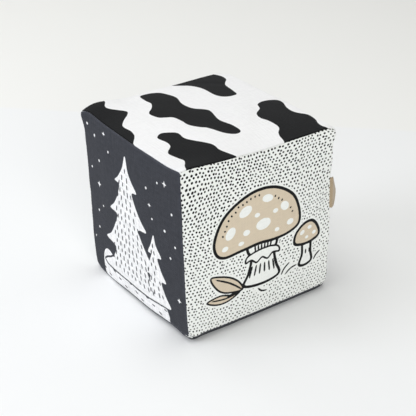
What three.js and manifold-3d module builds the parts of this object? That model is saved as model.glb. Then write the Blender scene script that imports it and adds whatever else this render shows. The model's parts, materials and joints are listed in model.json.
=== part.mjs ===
// A soft fabric block for a baby: six printed cotton panels, sewn edge to edge over a foam core,
// with a folded tape tab caught in one upright seam.
// Lengths are in millimetres and +Z is up. The origin is the middle of the flat that the block rests on.

import Module from 'manifold-3d';
import * as THREE from 'three';
import { mergeVertices } from 'three/addons/utils/BufferGeometryUtils.js';

const wasm = await Module();
wasm.setup();

// Block, from seam to seam
const blockWidth = 100;
const blockDepth = 104;
const blockHeight = 102.5;

// Puffed shape: how far a face stands out at its middle, how far a seam is drawn in at its middle,
// and how deep the bottom is pressed flat where it rests
const crownRise = 3.4;
const seamDraw = 0.5;
const restFlat = 0.4;

// Cotton cover, with its seam allowance turned in flat behind each panel
const canvasThickness = 0.6;
const allowanceWidth = 8;
const allowanceStep = 0.4;

// Clearance between pieces that lie against each other
const layGap = 0.3;

// Foam core
const coreEdgeRadius = 6;

// Sewing thread, and the hand-sewn stretch where the cover was closed over the core
const threadDiameter = 0.4;
const threadSink = 0.1;
const closingThreadDiameter = 0.5;
const closingLength = 55;

// Tape tab in the front right seam: a loop of twill tape whose two ends are sewn in. Its middle bows
// out further than its two edges.
const tapeWidth = 19;
const tapeThickness = 0.7;
const tabReach = 8;
const tabEdgeReach = 3;
const tabFoldGap = 0.8;
const tabTailLength = 4;
const tabTailTip = 0.3;
const tabStandoff = 1;
const tabHeightShare = 0.593;
const tabRestAngle = THREE.MathUtils.degToRad(38);

// Facets
const faceSteps = 12;
const panelLayers = 2;
const threadSides = 6;
const threadSteps = 10;
const foldSteps = 10;
const bowSteps = 8;

// Worked out from the sizes above
const halfSize = [blockWidth / 2, blockDepth / 2, blockHeight / 2];
const allowanceDepth = 2 * canvasThickness;
const mitreSet = layGap * Math.SQRT1_2;
const threadInset = threadSink + closingThreadDiameter / 2;
const foldRebate = threadInset + closingThreadDiameter / 2 + layGap;
const restHeight = halfSize[2] + crownRise - restFlat;
const tabMiddle = blockHeight * (tabHeightShare - 1 / 2);

// Colours of the cloth, thread, tape and foam
const ivory = 0xf2f0ea;
const charcoal = 0x3a3c43;
const white = 0xf6f6f7;
const natural = 0xc3b498;
const foamCream = 0xefe6c8;

const sides = [
  { name: 'left', axis: 0, sign: -1, colour: charcoal },
  { name: 'right', axis: 0, sign: 1, colour: white },
  { name: 'front', axis: 1, sign: -1, colour: ivory },
  { name: 'back', axis: 1, sign: 1, colour: ivory },
  { name: 'bottom', axis: 2, sign: -1, colour: charcoal },
  { name: 'top', axis: 2, sign: 1, colour: white },
];

// Moves every point of a closed shape, after its doubled corners are merged
function reshape(source, move) {
  const bare = source.clone();
  bare.deleteAttribute('normal');
  bare.deleteAttribute('uv');
  const shape = mergeVertices(bare);
  const corners = shape.attributes.position;
  const point = new THREE.Vector3();
  for (let i = 0; i < corners.count; i += 1) {
    point.fromBufferAttribute(corners, i);
    const [x, y, z] = move(point);
    corners.setXYZ(i, x, y, z);
  }
  shape.computeVertexNormals();
  return shape;
}

// The stuffed shape of the sewn cube: faces crown, seams draw in, and corners stay where they are
function puff(point) {
  const place = point.toArray();
  const share = place.map((value, axis) => value / halfSize[axis]);
  return place.map((value, axis) => {
    const b = share[(axis + 1) % 3] ** 2;
    const c = share[(axis + 2) % 3] ** 2;
    const crown = crownRise * (1 - b) * (1 - c);
    const draw = seamDraw * (b * (1 - c) + c * (1 - b));
    const rise = crown - draw;
    const pressed = axis === 2 && share[axis] < 0;
    return value + share[axis] * (pressed ? Math.min(rise, crownRise - restFlat) : rise);
  });
}

// Counts the grid lines of a unit box between a point and the nearer edge
function linesFromEdge(share) {
  const line = Math.round((share + 1 / 2) * faceSteps);
  return Math.min(line, faceSteps - line);
}

// Places a grid line: the edge, the two sides of the allowance's step, then even steps to the middle
function gridPlace(share, half, edgeInset, stepInset) {
  const lines = linesFromEdge(share);
  const padInset = stepInset + allowanceStep;
  const evenShare = (lines - 2) / (faceSteps / 2 - 2);
  const evenInset = padInset + (half - padInset) * evenShare;
  const inset = lines > 1 ? evenInset : [edgeInset, stepInset][lines];
  return Math.sign(share) * (half - inset);
}

// One printed panel, with its mitred edges and the step behind its turned-in allowance
function panelShape(side) {
  const across = side.sign > 0 ? (side.axis + 1) % 3 : (side.axis + 2) % 3;
  const along = 3 - side.axis - across;
  const edgeInsets = [foldRebate, foldRebate, allowanceDepth + mitreSet];
  const sheet = new THREE.BoxGeometry(1, 1, 1, faceSteps, faceSteps, panelLayers);
  return reshape(sheet, (unit) => {
    const layer = Math.round((1 / 2 - unit.z) * panelLayers);
    const onPad = linesFromEdge(unit.x) > 1 && linesFromEdge(unit.y) > 1;
    const backDepth = onPad ? canvasThickness : allowanceDepth;
    const depth = [0, foldRebate - mitreSet, backDepth][layer];
    const place = [];
    place[across] = gridPlace(unit.x, halfSize[across], edgeInsets[layer], allowanceWidth);
    place[along] = gridPlace(unit.y, halfSize[along], edgeInsets[layer], allowanceWidth);
    place[side.axis] = side.sign * (halfSize[side.axis] - depth);
    return place;
  });
}

// The foam core: it fills the panels' hollows, and its edges are rounded clear of the seams
function coreShape() {
  const foam = new THREE.BoxGeometry(1, 1, 1, faceSteps, faceSteps, faceSteps);
  return reshape(foam, (unit) => {
    const lines = unit.toArray().map(linesFromEdge);
    const outer = lines.filter((count) => count === 0).length;
    const onPad = outer === 1 && lines.every((count) => count !== 1);
    const cover = (onPad ? canvasThickness : allowanceDepth) + layGap;
    const rounding = coreEdgeRadius * (1 - 1 / Math.sqrt(outer));
    return unit
      .toArray()
      .map((share, axis) => gridPlace(share, halfSize[axis], cover + rounding, allowanceWidth + layGap));
  });
}

function toManifold(shape) {
  const mesh = new wasm.Mesh({
    numProp: 3,
    vertProperties: Float32Array.from(shape.attributes.position.array),
    triVerts: Uint32Array.from(shape.index.array),
  });
  return new wasm.Manifold(mesh);
}

function cutAway(shape, tool) {
  const cut = toManifold(shape).subtract(toManifold(tool)).getMesh();
  const result = new THREE.BufferGeometry();
  result.setAttribute('position', new THREE.BufferAttribute(cut.vertProperties, 3));
  result.setIndex(new THREE.BufferAttribute(cut.triVerts, 1));
  return result;
}

// Sets a shape made round the tab's plan, +X outwards, across the front right seam
function atTabSeam(shape) {
  shape.rotateZ(-Math.PI / 4);
  shape.translate(halfSize[0], -halfSize[1], tabMiddle);
  return shape;
}

// The slot that the tape's two ends pass through, between the front and right panels
function tabSlotShape() {
  const slotDepth = 2 * allowanceDepth * Math.SQRT2;
  const slotWidth = 2 * (tapeThickness + layGap);
  const slot = new THREE.BoxGeometry(2 * slotDepth, slotWidth, tapeWidth + 2 * layGap);
  return reshape(atTabSeam(slot), (point) => point.toArray());
}

// Both tape ends together, from inside the seam to a thin lip at the stitches
function tabRootShape() {
  const shoulder = -threadInset * Math.SQRT2;
  const lip = tabTailTip / 2;
  const plan = new THREE.Shape();
  plan.moveTo(-tabTailLength, -tapeThickness);
  plan.lineTo(shoulder, -tapeThickness);
  plan.lineTo(lip, -lip);
  plan.lineTo(lip, lip);
  plan.lineTo(shoulder, tapeThickness);
  plan.lineTo(-tabTailLength, tapeThickness);
  plan.closePath();
  const ends = new THREE.ExtrudeGeometry(plan, { depth: tapeWidth, bevelEnabled: false });
  ends.translate(0, 0, -tapeWidth / 2);
  return reshape(atTabSeam(ends), puff);
}

// The free loop of the tape in its own plan: the fold line at the origin, the round fold at +X,
// which lies nearer the fold line towards the tape's two edges
function tabLoopShape() {
  const foldInner = tabFoldGap / 2;
  const foldOuter = foldInner + tapeThickness;
  const foldCentre = tabReach - foldOuter;
  const drop = tabReach - tabEdgeReach;
  const plan = new THREE.Shape();
  plan.absarc(foldCentre, 0, foldOuter, -Math.PI / 2, Math.PI / 2);
  plan.absarc(0, 0, tapeThickness, Math.PI / 2, (3 * Math.PI) / 2);
  plan.closePath();
  const gap = new THREE.Path();
  gap.moveTo(2 * tapeThickness, 0);
  gap.absarc(foldCentre, 0, foldInner, -Math.PI / 2, Math.PI / 2);
  gap.closePath();
  plan.holes.push(gap);
  const options = { depth: tapeWidth, steps: bowSteps, bevelEnabled: false, curveSegments: foldSteps };
  const loop = new THREE.ExtrudeGeometry(plan, options);
  loop.translate(0, 0, -tapeWidth / 2);
  return reshape(loop, ({ x, y, z }) => {
    const onFold = x > foldCentre - tabFoldGap;
    const level = z / (tapeWidth / 2);
    return [onFold ? x - drop * level ** 2 : x, y, z];
  });
}

// One straight run of thread along a seam, from one place to another
function threadRun(seam, diameter, from, to) {
  const radius = diameter / 2;
  const run = new THREE.CylinderGeometry(radius, radius, to - from, threadSides, threadSteps);
  const direction = new THREE.Vector3().setComponent(seam.axis, 1);
  run.applyQuaternion(new THREE.Quaternion().setFromUnitVectors(THREE.Object3D.DEFAULT_UP, direction));
  const middle = new THREE.Vector3().setComponent(seam.axis, (from + to) / 2);
  for (const side of seam.sides) {
    middle.setComponent(side.axis, side.sign * (halfSize[side.axis] - threadInset));
  }
  run.translate(...middle);
  return reshape(run, puff);
}

// The machine thread of one seam: a run from corner to corner, or one on each side of a break
function seamThreads(seam) {
  const name = `seam_thread_${seam.name}`;
  const end = halfSize[seam.axis] - foldRebate - layGap;
  if (!seam.break) {
    return [{ name, shape: threadRun(seam, threadDiameter, -end, end) }];
  }
  const { middle, length, endNames } = seam.break;
  const reach = length / 2 + layGap;
  return [
    { name: `${name}_${endNames[0]}`, shape: threadRun(seam, threadDiameter, -end, middle - reach) },
    { name: `${name}_${endNames[1]}`, shape: threadRun(seam, threadDiameter, middle + reach, end) },
  ];
}

// The twelve seams: each runs where two sides meet
function listSeams() {
  const seams = [];
  sides.forEach((first, i) => {
    for (const second of sides.slice(i + 1)) {
      if (first.axis !== second.axis) {
        const axis = 3 - first.axis - second.axis;
        seams.push({ name: `${second.name}_${first.name}`, axis, sides: [first, second] });
      }
    }
  });
  return seams;
}

function clothMesh(name, shape, colour, roughness) {
  const material = new THREE.MeshStandardMaterial({ color: colour, roughness, metalness: 0 });
  const mesh = new THREE.Mesh(shape, material);
  mesh.name = name;
  return mesh;
}

const block = new THREE.Group();
block.position.z = restHeight;

// Panels
const slotted = ['front', 'right'];
for (const side of sides) {
  const flat = panelShape(side);
  const cut = slotted.includes(side.name) ? cutAway(flat, tabSlotShape()) : flat;
  block.add(clothMesh(`${side.name}_panel`, reshape(cut, puff), side.colour, 0.9));
}

// Core
block.add(clothMesh('foam_core', reshape(coreShape(), puff), foamCream, 1));

// Threads
const seams = listSeams();
const tabSeam = seams.find((seam) => seam.name === 'front_right');
tabSeam.break = { middle: tabMiddle, length: tapeWidth, endNames: ['lower', 'upper'] };
const closingSeam = seams.find((seam) => seam.name === 'bottom_back');
closingSeam.break = { middle: 0, length: closingLength, endNames: ['left', 'right'] };
for (const run of seams.flatMap(seamThreads)) {
  block.add(clothMesh(run.name, run.shape, white, 0.6));
}
const closing = threadRun(closingSeam, closingThreadDiameter, -closingLength / 2, closingLength / 2);
block.add(clothMesh('closing_thread', closing, charcoal, 0.6));

// Tape tab, turned about the fold line that stands just outside the seam
block.add(clothMesh('tape_tab_root', tabRootShape(), natural, 0.85));
const tabLoop = clothMesh('tape_tab_loop', tabLoopShape(), natural, 0.85);
const seamPoint = puff(new THREE.Vector3(halfSize[0], -halfSize[1], tabMiddle));
tabLoop.position.set(seamPoint[0] + tabStandoff, seamPoint[1] - tabStandoff, seamPoint[2]);
tabLoop.rotation.z = tabRestAngle;
block.add(tabLoop);

export default block;
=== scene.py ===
"""A soft fabric block for a baby: six printed cotton panels sewn edge to edge over a foam core, with a
folded tape tab in one upright seam.

The file is laid out as a Blender add-on and run as a script. Lengths are in metres, in the part's own
frame: +Z up, with the origin in the middle of the flat that the block rests on.
"""
import json
import math

import bmesh
import bpy
import numpy as np
from bpy.props import FloatProperty, FloatVectorProperty, IntProperty, PointerProperty
from mathutils import Matrix, Vector


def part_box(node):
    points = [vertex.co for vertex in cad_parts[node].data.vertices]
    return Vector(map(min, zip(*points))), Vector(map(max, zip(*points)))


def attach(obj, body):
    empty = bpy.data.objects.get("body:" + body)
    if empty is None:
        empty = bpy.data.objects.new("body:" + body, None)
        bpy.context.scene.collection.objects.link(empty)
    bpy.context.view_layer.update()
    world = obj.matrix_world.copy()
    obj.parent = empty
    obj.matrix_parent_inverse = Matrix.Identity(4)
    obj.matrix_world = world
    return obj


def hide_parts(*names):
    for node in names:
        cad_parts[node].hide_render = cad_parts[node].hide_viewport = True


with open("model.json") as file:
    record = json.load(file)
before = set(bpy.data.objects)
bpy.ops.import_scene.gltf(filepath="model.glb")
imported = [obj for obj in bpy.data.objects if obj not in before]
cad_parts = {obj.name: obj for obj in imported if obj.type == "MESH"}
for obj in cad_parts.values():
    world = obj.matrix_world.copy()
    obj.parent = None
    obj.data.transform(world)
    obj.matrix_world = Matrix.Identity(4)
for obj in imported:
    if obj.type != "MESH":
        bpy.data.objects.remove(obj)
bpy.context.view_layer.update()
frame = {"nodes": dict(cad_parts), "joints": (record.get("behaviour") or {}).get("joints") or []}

bl_info = {
    "name": "Soft fabric block",
    "version": (1, 0, 0),
    "blender": (4, 5, 0),
    "location": "3D View > Sidebar > Fabric Block",
    "description": "Builds the cover, core, seams and tape tab of a soft fabric block",
    "category": "Object",
}

MM = 0.001

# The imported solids' own shape: how far each side crowns past the seams, and how much of the crown is cut
# flat under the block
CROWN = 3.4 * MM
REST_FLAT = 0.4 * MM


def box_side(name, axis, top):
    """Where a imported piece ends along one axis."""
    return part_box(name)[1 if top else 0][axis]


WIDTH = box_side("right_panel", 0, True) - box_side("left_panel", 0, False) - 2 * CROWN
DEPTH = box_side("back_panel", 1, True) - box_side("front_panel", 1, False) - 2 * CROWN
HEIGHT = box_side("top_panel", 2, True) - 2 * CROWN + REST_FLAT
HALF = np.array([WIDTH, DEPTH, HEIGHT]) / 2
REST_HEIGHT = HEIGHT / 2 + CROWN - REST_FLAT
HINGE = np.array(frame["joints"][0]["pos_m"])
TAB_BOX = [np.array(corner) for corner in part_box("tape_tab_loop")]
# The angle from square to the right panel at which the tab lies
TAB_REST = math.radians(38)


# Sizes and colours that a user would change

def length(text, default):
    return FloatProperty(name=text.split(":")[0], description=text, default=default, min=0, unit="LENGTH",
                         subtype="DISTANCE", precision=5)


def linear(hex_colour):
    """A colour written as sRGB hex, as the linear values that shaders read."""
    parts = [(hex_colour >> shift & 255) / 255 for shift in (16, 8, 0)]
    return tuple(p / 12.92 if p <= 0.04045 else ((p + 0.055) / 1.055) ** 2.4 for p in parts)


def colour(text, hex_colour):
    return FloatVectorProperty(name=text.split(":")[0], description=text, default=linear(hex_colour),
                               size=3, min=0, max=1, subtype="COLOR")


class FabricBlockSizes(bpy.types.PropertyGroup):
    cloth: length("Cloth thickness: the canvas of the cover", 0.45 * MM)
    rolled_cloth: length("Rolled cloth thickness: the canvas where it is pressed into a seam", 0.25 * MM)
    roll: length("Roll radius: the bend of a panel's edge into its seam", 0.5 * MM)
    groove: length("Groove depth: how far the cloth runs in from its roll to the stitches", 0.4 * MM)
    allowance: length("Seam allowance: cloth turned in behind the stitches", 8 * MM)
    grain: length("Grid step: spacing of the cover's mesh on its faces", 0.56 * MM)
    stitch: length("Stitch length: distance between needle holes along a seam", 2.2 * MM)
    pucker: length("Pucker depth: how far the cloth is drawn in at each needle hole", 0.22 * MM)
    ridge: length("Seam ridge: how far the turned-in cloth pushes the seams out", 0.4 * MM)
    crown: length("Crown: how far the filling pushes the middle of a side out", 2.6 * MM)
    corner_reach: length("Corner reach: how far from a corner its rounding starts", 8 * MM)
    core_edge: length("Core edge radius: rounding of the cut foam", 6 * MM)
    thread: length("Thread diameter: machine sewing thread", 0.4 * MM)
    closing_thread: length("Closing thread diameter: hand sewing thread", 0.5 * MM)
    closing_stitch: length("Closing stitch length: distance between hand stitches", 3.6 * MM)
    tape: length("Tape thickness: the twill tape of the tab", 0.6 * MM)
    tape_gap: length("Tape gap: opening inside the tab's fold", 0.4 * MM)
    tab_reach: length("Tab reach: how far the tab stands out at its widest", 8.1 * MM)
    tab_edge_reach: length("Tab edge reach: how far it stands out at the tape's edges", 1.7 * MM)
    dot_pitch: length("Dot spacing: the front print's dots", 2.3 * MM)
    dot: length("Dot width: the front print's dots", 1.11 * MM)
    yarn: length("Yarn spacing: the canvas weave, coarser than the real 0.4 mm", 1.0 * MM)
    seed: IntProperty(name="Seed", description="Seed of the cloth's unevenness", default=7, min=0)


class FabricBlockColours(bpy.types.PropertyGroup):
    off_white: colour("Off-white: ground of the dotted canvas", 0xF0F2F0)
    white: colour("White: ground of the patched canvas", 0xEDEDEF)
    white_ink: colour("White ink: the left print and the stars", 0xF3F3F4)
    charcoal: colour("Charcoal: ground of the starred canvas", 0x35373E)
    black: colour("Black: ink of the patches, dots and outlines", 0x101113)
    tan: colour("Tan: second ink of the front print", 0xD5C7B2)
    tape: colour("Tape: undyed twill tape", 0xB8A58B)
    thread: colour("Thread: machine sewing thread", 0xB9B9BC)
    dark_thread: colour("Dark thread: hand sewing thread", 0x3A3B42)
    foam: colour("Foam: cut polyether foam", 0xEFE6C8)


def sizes():
    return bpy.context.scene.fabric_block_sizes


def colours():
    return bpy.context.scene.fabric_block_colours


# The block's six sides: the way right, up and out on each, as it is seen from outside

SIDES = {
    "front": ((1, 0, 0), (0, 0, 1), (0, -1, 0)),
    "back": ((-1, 0, 0), (0, 0, 1), (0, 1, 0)),
    "left": ((0, -1, 0), (0, 0, 1), (-1, 0, 0)),
    "right": ((0, 1, 0), (0, 0, 1), (1, 0, 0)),
    "top": ((1, 0, 0), (0, 1, 0), (0, 0, 1)),
    "bottom": ((1, 0, 0), (0, -1, 0), (0, 0, -1)),
}


def side_half(direction):
    """Half the block's size between seams along a side's direction."""
    return float(np.abs(direction) @ HALF)


# Unevenness and the stuffed shape: height and length of the cover's slow and quick waves
WAVES = ((0.30 * MM, 75 * MM), (0.10 * MM, 17 * MM))
WAVE_COUNT = 7
WAVE_LENGTH_SPREAD = (0.7, 1.4)
# The waves' rise fades out towards the surface that the block stands on, over this share of its half height
WAVE_FADE_SHARE = 0.3
# How quickly a corner's rounding fades with the distance from the corner
CORNER_POWER = 1.6
# How near to its seams the bottom panel still hangs at its full depth: along the sides, and along the front
# and back, where the fall is steeper
SIDE_SAG_POWER = 28
FRONT_SAG_POWER = 120


def waves(points, rng, wavelength):
    """A smooth, uneven field of three values for each point, each about -1 to 1."""
    total = np.zeros_like(points)
    for _ in range(WAVE_COUNT):
        heading = rng.normal(size=3)
        heading /= np.linalg.norm(heading)
        turn = 2 * np.pi * (points @ heading) / (wavelength * rng.uniform(*WAVE_LENGTH_SPREAD))
        total += np.sin(turn + rng.uniform(0, 2 * np.pi))[:, None] * rng.normal(size=3)
    return total / math.sqrt(WAVE_COUNT)


# How far each corner is drawn towards the middle of the block, in millimetres: across, along and up.
# The foam doesn't fill the corners, so each one settles in its own way.
CORNER_PULLS = {
    (-1, -1, -1): (1.0, 0.5, 4.0),
    (1, -1, -1): (1.0, 0.5, 1.6),
    (-1, 1, -1): (0.3, 0.3, 0.5),
    (1, 1, -1): (0.9, 0.9, 2.2),
    (-1, -1, 1): (0.2, 0.2, 0.2),
    (1, -1, 1): (0.8, 0.6, 2.6),
    (-1, 1, 1): (0.0, 0.0, 2.6),
    (1, 1, 1): (0.8, 0.8, 2.4),
}

# Bulges where the filling presses on the cover: place as shares of the half sizes, push and reach in
# millimetres
BULGES = [
    ((-0.82, 0.96, 1.00), (0.0, 0.0, 2.6), 15),
    ((-1.00, 1.00, 0.94), (-1.3, 0.9, 0.0), 5.5),
    ((1.00, -1.00, 0.92), (3.2, -0.4, 0.5), 6),
    ((1.00, -1.00, 0.66), (0.9, -0.1, 0.0), 9),
    ((1.00, -0.94, 0.30), (-0.5, 0.0, 0.0), 8),
    ((1.00, -0.94, 0.07), (-0.35, 0.0, 0.0), 8),
    ((0.94, -1.00, 0.30), (0.0, 0.35, 0.0), 8),
    ((0.94, -1.00, 0.07), (0.0, 0.45, 0.0), 8),
    ((-0.92, -1.00, 1.00), (-0.4, 0.0, 1.9), 9),
    ((-0.70, -1.00, 1.00), (0.0, 0.0, 1.0), 9),
    ((0.18, -1.00, 1.00), (0.0, 0.0, -1.2), 18),
    ((0.75, -1.00, 1.00), (0.0, 0.0, -0.5), 12),
    ((1.00, 1.00, 0.88), (0.9, 0.9, 0.0), 7),
    ((-0.95, 0.90, -1.00), (0.0, 0.0, -0.9), 14),
    ((-1.00, 0.60, -1.00), (0.0, 0.0, -1.0), 14),
    ((-1.00, -0.72, -1.00), (1.2, 0.0, 1.5), 20),
    ((-0.93, -1.00, -1.00), (0.0, 0.0, -1.8), 4),
]


def roll_start():
    """How far in from the block's sharp edge a panel's face starts to roll into its seam."""
    return (1 + math.sqrt(2)) * sizes().roll


def bottom_sag(points, square):
    """How far the bottom panel's cloth hangs below its seams. It starts behind the front and back rolls."""
    along = np.minimum(np.abs(points[:, 1]) / (HALF[1] - roll_start()), 1)
    return (CROWN - REST_FLAT) * (1 - square[:, 0] ** SIDE_SAG_POWER) * (1 - along ** FRONT_SAG_POWER)


def settle(points):
    """Moves the points of a plain box to where the stuffed and sewn block has them."""
    s = sizes()
    share = points / HALF
    square = np.minimum(share ** 2, 1)
    b = np.roll(square, -1, axis=1)
    c = np.roll(square, -2, axis=1)
    rise = s.crown * (1 - b) * (1 - c)
    ridge = s.ridge * (b * (1 - c) + c * (1 - b))
    below = share[:, 2] < 0
    rise[below, 2] = bottom_sag(points, square)[below]
    ridge[below, 2] = 0
    moved = points + share * (rise + ridge)

    near = np.clip(1 - (HALF - np.abs(points)) / s.corner_reach, 0, 1)
    strength = np.prod(near, axis=1) ** CORNER_POWER
    for corner, pull in CORNER_PULLS.items():
        chosen = np.all(np.sign(points) == corner, axis=1)
        moved[chosen] -= strength[chosen, None] * np.array(corner) * np.array(pull) * MM
    for place, push, reach in BULGES:
        gap = np.linalg.norm(points - np.array(place) * HALF, axis=1) / (reach * MM)
        moved += np.exp(-gap ** 2)[:, None] * np.array(push) * MM

    rng = np.random.default_rng(s.seed)
    drift = sum(height * waves(points, rng, wavelength) for height, wavelength in WAVES)
    drift[:, 2] *= np.clip((share[:, 2] + 1) / WAVE_FADE_SHARE, 0, 1)
    moved += drift
    moved[:, 2] = np.maximum(moved[:, 2] + REST_HEIGHT, 0.0)
    return moved


# The cut of one panel, along one direction: where each grid line lies once it is sewn
ROLL_TURN = math.radians(135)
ROLL_STEPS = 8
ALLOWANCE_STEPS = 4
# How deep the seam allowances lie below the roll, across and up a panel, where one pair passes under the
# other, and the share of it that the first step goes down
ALLOWANCE_DROPS = (0.1 * MM, 0.55 * MM)
FIRST_DROP_SHARE = 0.6


def panel_lines(half, under):
    """Grid lines from one cut edge of a panel to the other: place, drop, flat place and roll share.

    A line's place is measured from the middle of the side and its drop from the side's plane. Its flat
    place is measured along the cloth, and its roll share grows from 0 on the face to 1 at the stitches.
    under is how deep the seam allowance lies below the roll.
    """
    s = sizes()
    angles = np.linspace(0, ROLL_TURN, ROLL_STEPS + 1)[1:]
    place = [-roll_start() + s.roll * math.sin(a) for a in angles]
    drop = [-s.roll + s.roll * math.cos(a) for a in angles]
    flat = [s.roll * a for a in angles]
    step = s.groove / math.sqrt(2)
    place.append(place[-1] - step)
    drop.append(drop[-1] - step)
    flat.append(flat[-1] + s.groove)
    for k in range(ALLOWANCE_STEPS):
        inner = s.allowance * (k + 1) / ALLOWANCE_STEPS
        place.append(place[ROLL_STEPS] - inner)
        drop.append(drop[ROLL_STEPS] - under * min(1, FIRST_DROP_SHARE + k))
        flat.append(flat[ROLL_STEPS] + inner)

    face_half = half - roll_start()
    count = 2 * round(face_half / s.grain)
    face = np.linspace(-face_half, face_half, count + 1)
    level = np.zeros_like(face)
    flat = np.array(flat)
    edges = [
        (half + np.array(place), -1, face),
        (np.array(drop), 1, level),
        (face_half + flat, -1, face),
        (np.minimum(flat / flat[ROLL_STEPS], 1), 1, level),
    ]
    return [np.concatenate([sign * edge[::-1], middle, edge]) for edge, sign, middle in edges]


# Folds that run in from a seam: how many, and the least and most of each one's slant, reach, width and depth
FOLD_COUNT = 9
FOLD_SLANT = (-0.5, 0.5)
FOLD_REACH = (3 * MM, 11 * MM)
FOLD_WIDTH = (1.2 * MM, 3.2 * MM)
FOLD_DEPTH = (-0.16 * MM, 0.22 * MM)


def radiating_folds(rng, half):
    """A few shallow folds that run in from one seam: place, slant, reach, width and depth of each."""
    ranges = ((-half, half), FOLD_SLANT, FOLD_REACH, FOLD_WIDTH, FOLD_DEPTH)
    return [[rng.uniform(*ends) for ends in ranges] for _ in range(FOLD_COUNT)]


# The stitching's unevenness along a seam: the needle's wander, each part an angle in a stitch's full turn
# and the length over which it changes, the share by which the thread's grip changes, and its length
NEEDLE_WANDER = ((0.9, 9.1 * MM), (0.7, 3.7 * MM))
GRIP_CHANGE = 0.35
GRIP_LENGTH = 11 * MM
# What tells the seams apart: their direction, and the two sides that meet
SEAM_PHASES = (1.7, 0.9, 2.3)
# How far a pucker reaches from the stitches as a dent and as a pull on the cloth, the share of it that is
# pull, and how much less of that there is in the roll
PUCKER_REACH = 1.5 * MM
PULL_REACH = 1.0 * MM
PULL_SHARE = 0.6
PULL_ROLL_LOSS = 0.4


def seam_phase(axis, signs):
    """A number of its own for each seam, so that both its panels pucker at the same places."""
    return SEAM_PHASES[0] * axis + SEAM_PHASES[1] * signs[0] + SEAM_PHASES[2] * signs[1]


def seam_pinch(along, phase):
    """How hard the seam is drawn in along its length, from 0 between stitches to 1 at a tight one."""
    wander = sum(share * np.sin(along / reach + (k + 1) * phase)
                 for k, (share, reach) in enumerate(NEEDLE_WANDER))
    pinch = 0.5 + 0.5 * np.cos(2 * np.pi * along / sizes().stitch + wander)
    grip = 1 - GRIP_CHANGE + GRIP_CHANGE * np.sin(along / GRIP_LENGTH + 3 * phase)
    return pinch * grip


def seam_relief(along, inset, roll, folds, pinch):
    """How far the cloth near one seam is drawn in, from the seam's puckers and folds."""
    depth = sizes().pucker * pinch * np.exp(-inset / PUCKER_REACH) * (1 - roll)
    for place, slant, reach, width, fold_depth in folds:
        across = (along - place - slant * inset) / width
        depth = depth + fold_depth * np.exp(-across ** 2 - (inset / reach) ** 2) * (1 - roll)
    return depth


# Creases that lie across a face, in millimetres on that side: start, end, width and depth
CREASES = {
    "top": [((48, 20), (8, -38), 3.5, 0.22), ((-20, -50), (-34, 4), 4.5, 0.20),
            ((20, 48), (46, 22), 3.0, 0.22)],
    "front": [((40, -48), (12, -20), 4.0, 0.16), ((-46, 40), (-18, 47), 3.5, 0.14)],
    "left": [((-44, -20), (-30, 28), 4.5, 0.18), ((30, -46), (46, -8), 4.0, 0.15)],
    "right": [((-40, 10), (4, 44), 4.0, 0.2), ((10, -40), (44, -12), 4.0, 0.2)],
    "back": [((-42, -10), (-8, -42), 4.0, 0.2), ((0, 40), (40, 28), 4.5, 0.16)],
    "bottom": [],
}


def crease_relief(u, v, creases):
    """How far a face is drawn in along its creases."""
    depth = np.zeros_like(u)
    for start, end, width, deep in creases:
        a = np.array(start) * MM
        run = np.array(end) * MM - a
        t = ((u - a[0]) * run[0] + (v - a[1]) * run[1]) / (run @ run)
        gap = np.hypot(u - a[0] - t * run[0], v - a[1] - t * run[1]) / (width * MM)
        fade = np.clip(1 - (2 * t - 1) ** 2, 0, 1)
        depth += deep * MM * fade * np.exp(-gap ** 2)
    return depth


# Where the tape passes through the seam: the length over which the cloth closes beside it, the roll share
# at which the cloth is fully pushed aside, and the share of the tape's thickness that it moves each way
SPREAD_END = 1.4 * MM
SPREAD_ROLL = 0.625
SPREAD_PUSH = 0.6


def tape_width():
    """The width of the tab's tape."""
    return TAB_BOX[1][2] - TAB_BOX[0][2]


def tab_spread(along, roll):
    """How far the tape in the front right seam pushes a panel's edge aside."""
    middle = HINGE[2] - REST_HEIGHT
    off = (np.abs(along - middle) - tape_width() / 2) / SPREAD_END
    window = 0.5 - 0.5 * np.tanh(2 * off)
    return sizes().tape * window * np.clip(roll / SPREAD_ROLL, 0, 1)


def plan_turn(angle):
    """Turns rows of flat points when they are multiplied by it."""
    return np.array([[math.cos(angle), math.sin(angle)], [-math.sin(angle), math.cos(angle)]])


# Drawing on a panel: smooth outlines and strokes, in millimetres on its side

def smooth_line(points, closed, steps=7):
    """A smooth curve through a few points, as a finer row of points."""
    points = np.array(points, float)
    if closed:
        before = np.roll(points, 1, axis=0)
        after = np.roll(points, -1, axis=0)
        beyond = np.roll(points, -2, axis=0)
    else:
        before = np.vstack([points[:1], points[:-2]])
        after = points[1:]
        beyond = np.vstack([points[2:], points[-1:]])
        points = points[:-1]
    t = np.linspace(0, 1, steps, endpoint=False)[:, None]
    rows = []
    for p0, p1, p2, p3 in zip(before, points, after, beyond):
        rows.append(0.5 * (2 * p1 + (p2 - p0) * t + (2 * p0 - 5 * p1 + 4 * p2 - p3) * t ** 2
                           + (3 * p1 - p0 - 3 * p2 + p3) * t ** 3))
    line = np.vstack(rows)
    return line if closed else np.vstack([line, after[-1:]])


FAR = 9.0


def near_line(places, line):
    """Which places lie within FAR of a line's box, and the two coordinates of those that do."""
    near = np.all((places > line.min(0) - FAR) & (places < line.max(0) + FAR), axis=1)
    x, y = places[near].T
    return near, x, y


def stretch_gap(x, y, start, end):
    """The square of the distance to a straight stretch, and the share of it at the nearest point."""
    ex, ey = end - start
    t = np.clip(((x - start[0]) * ex + (y - start[1]) * ey) / (ex * ex + ey * ey + 1e-12), 0, 1)
    return (x - start[0] - t * ex) ** 2 + (y - start[1] - t * ey) ** 2, t


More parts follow.
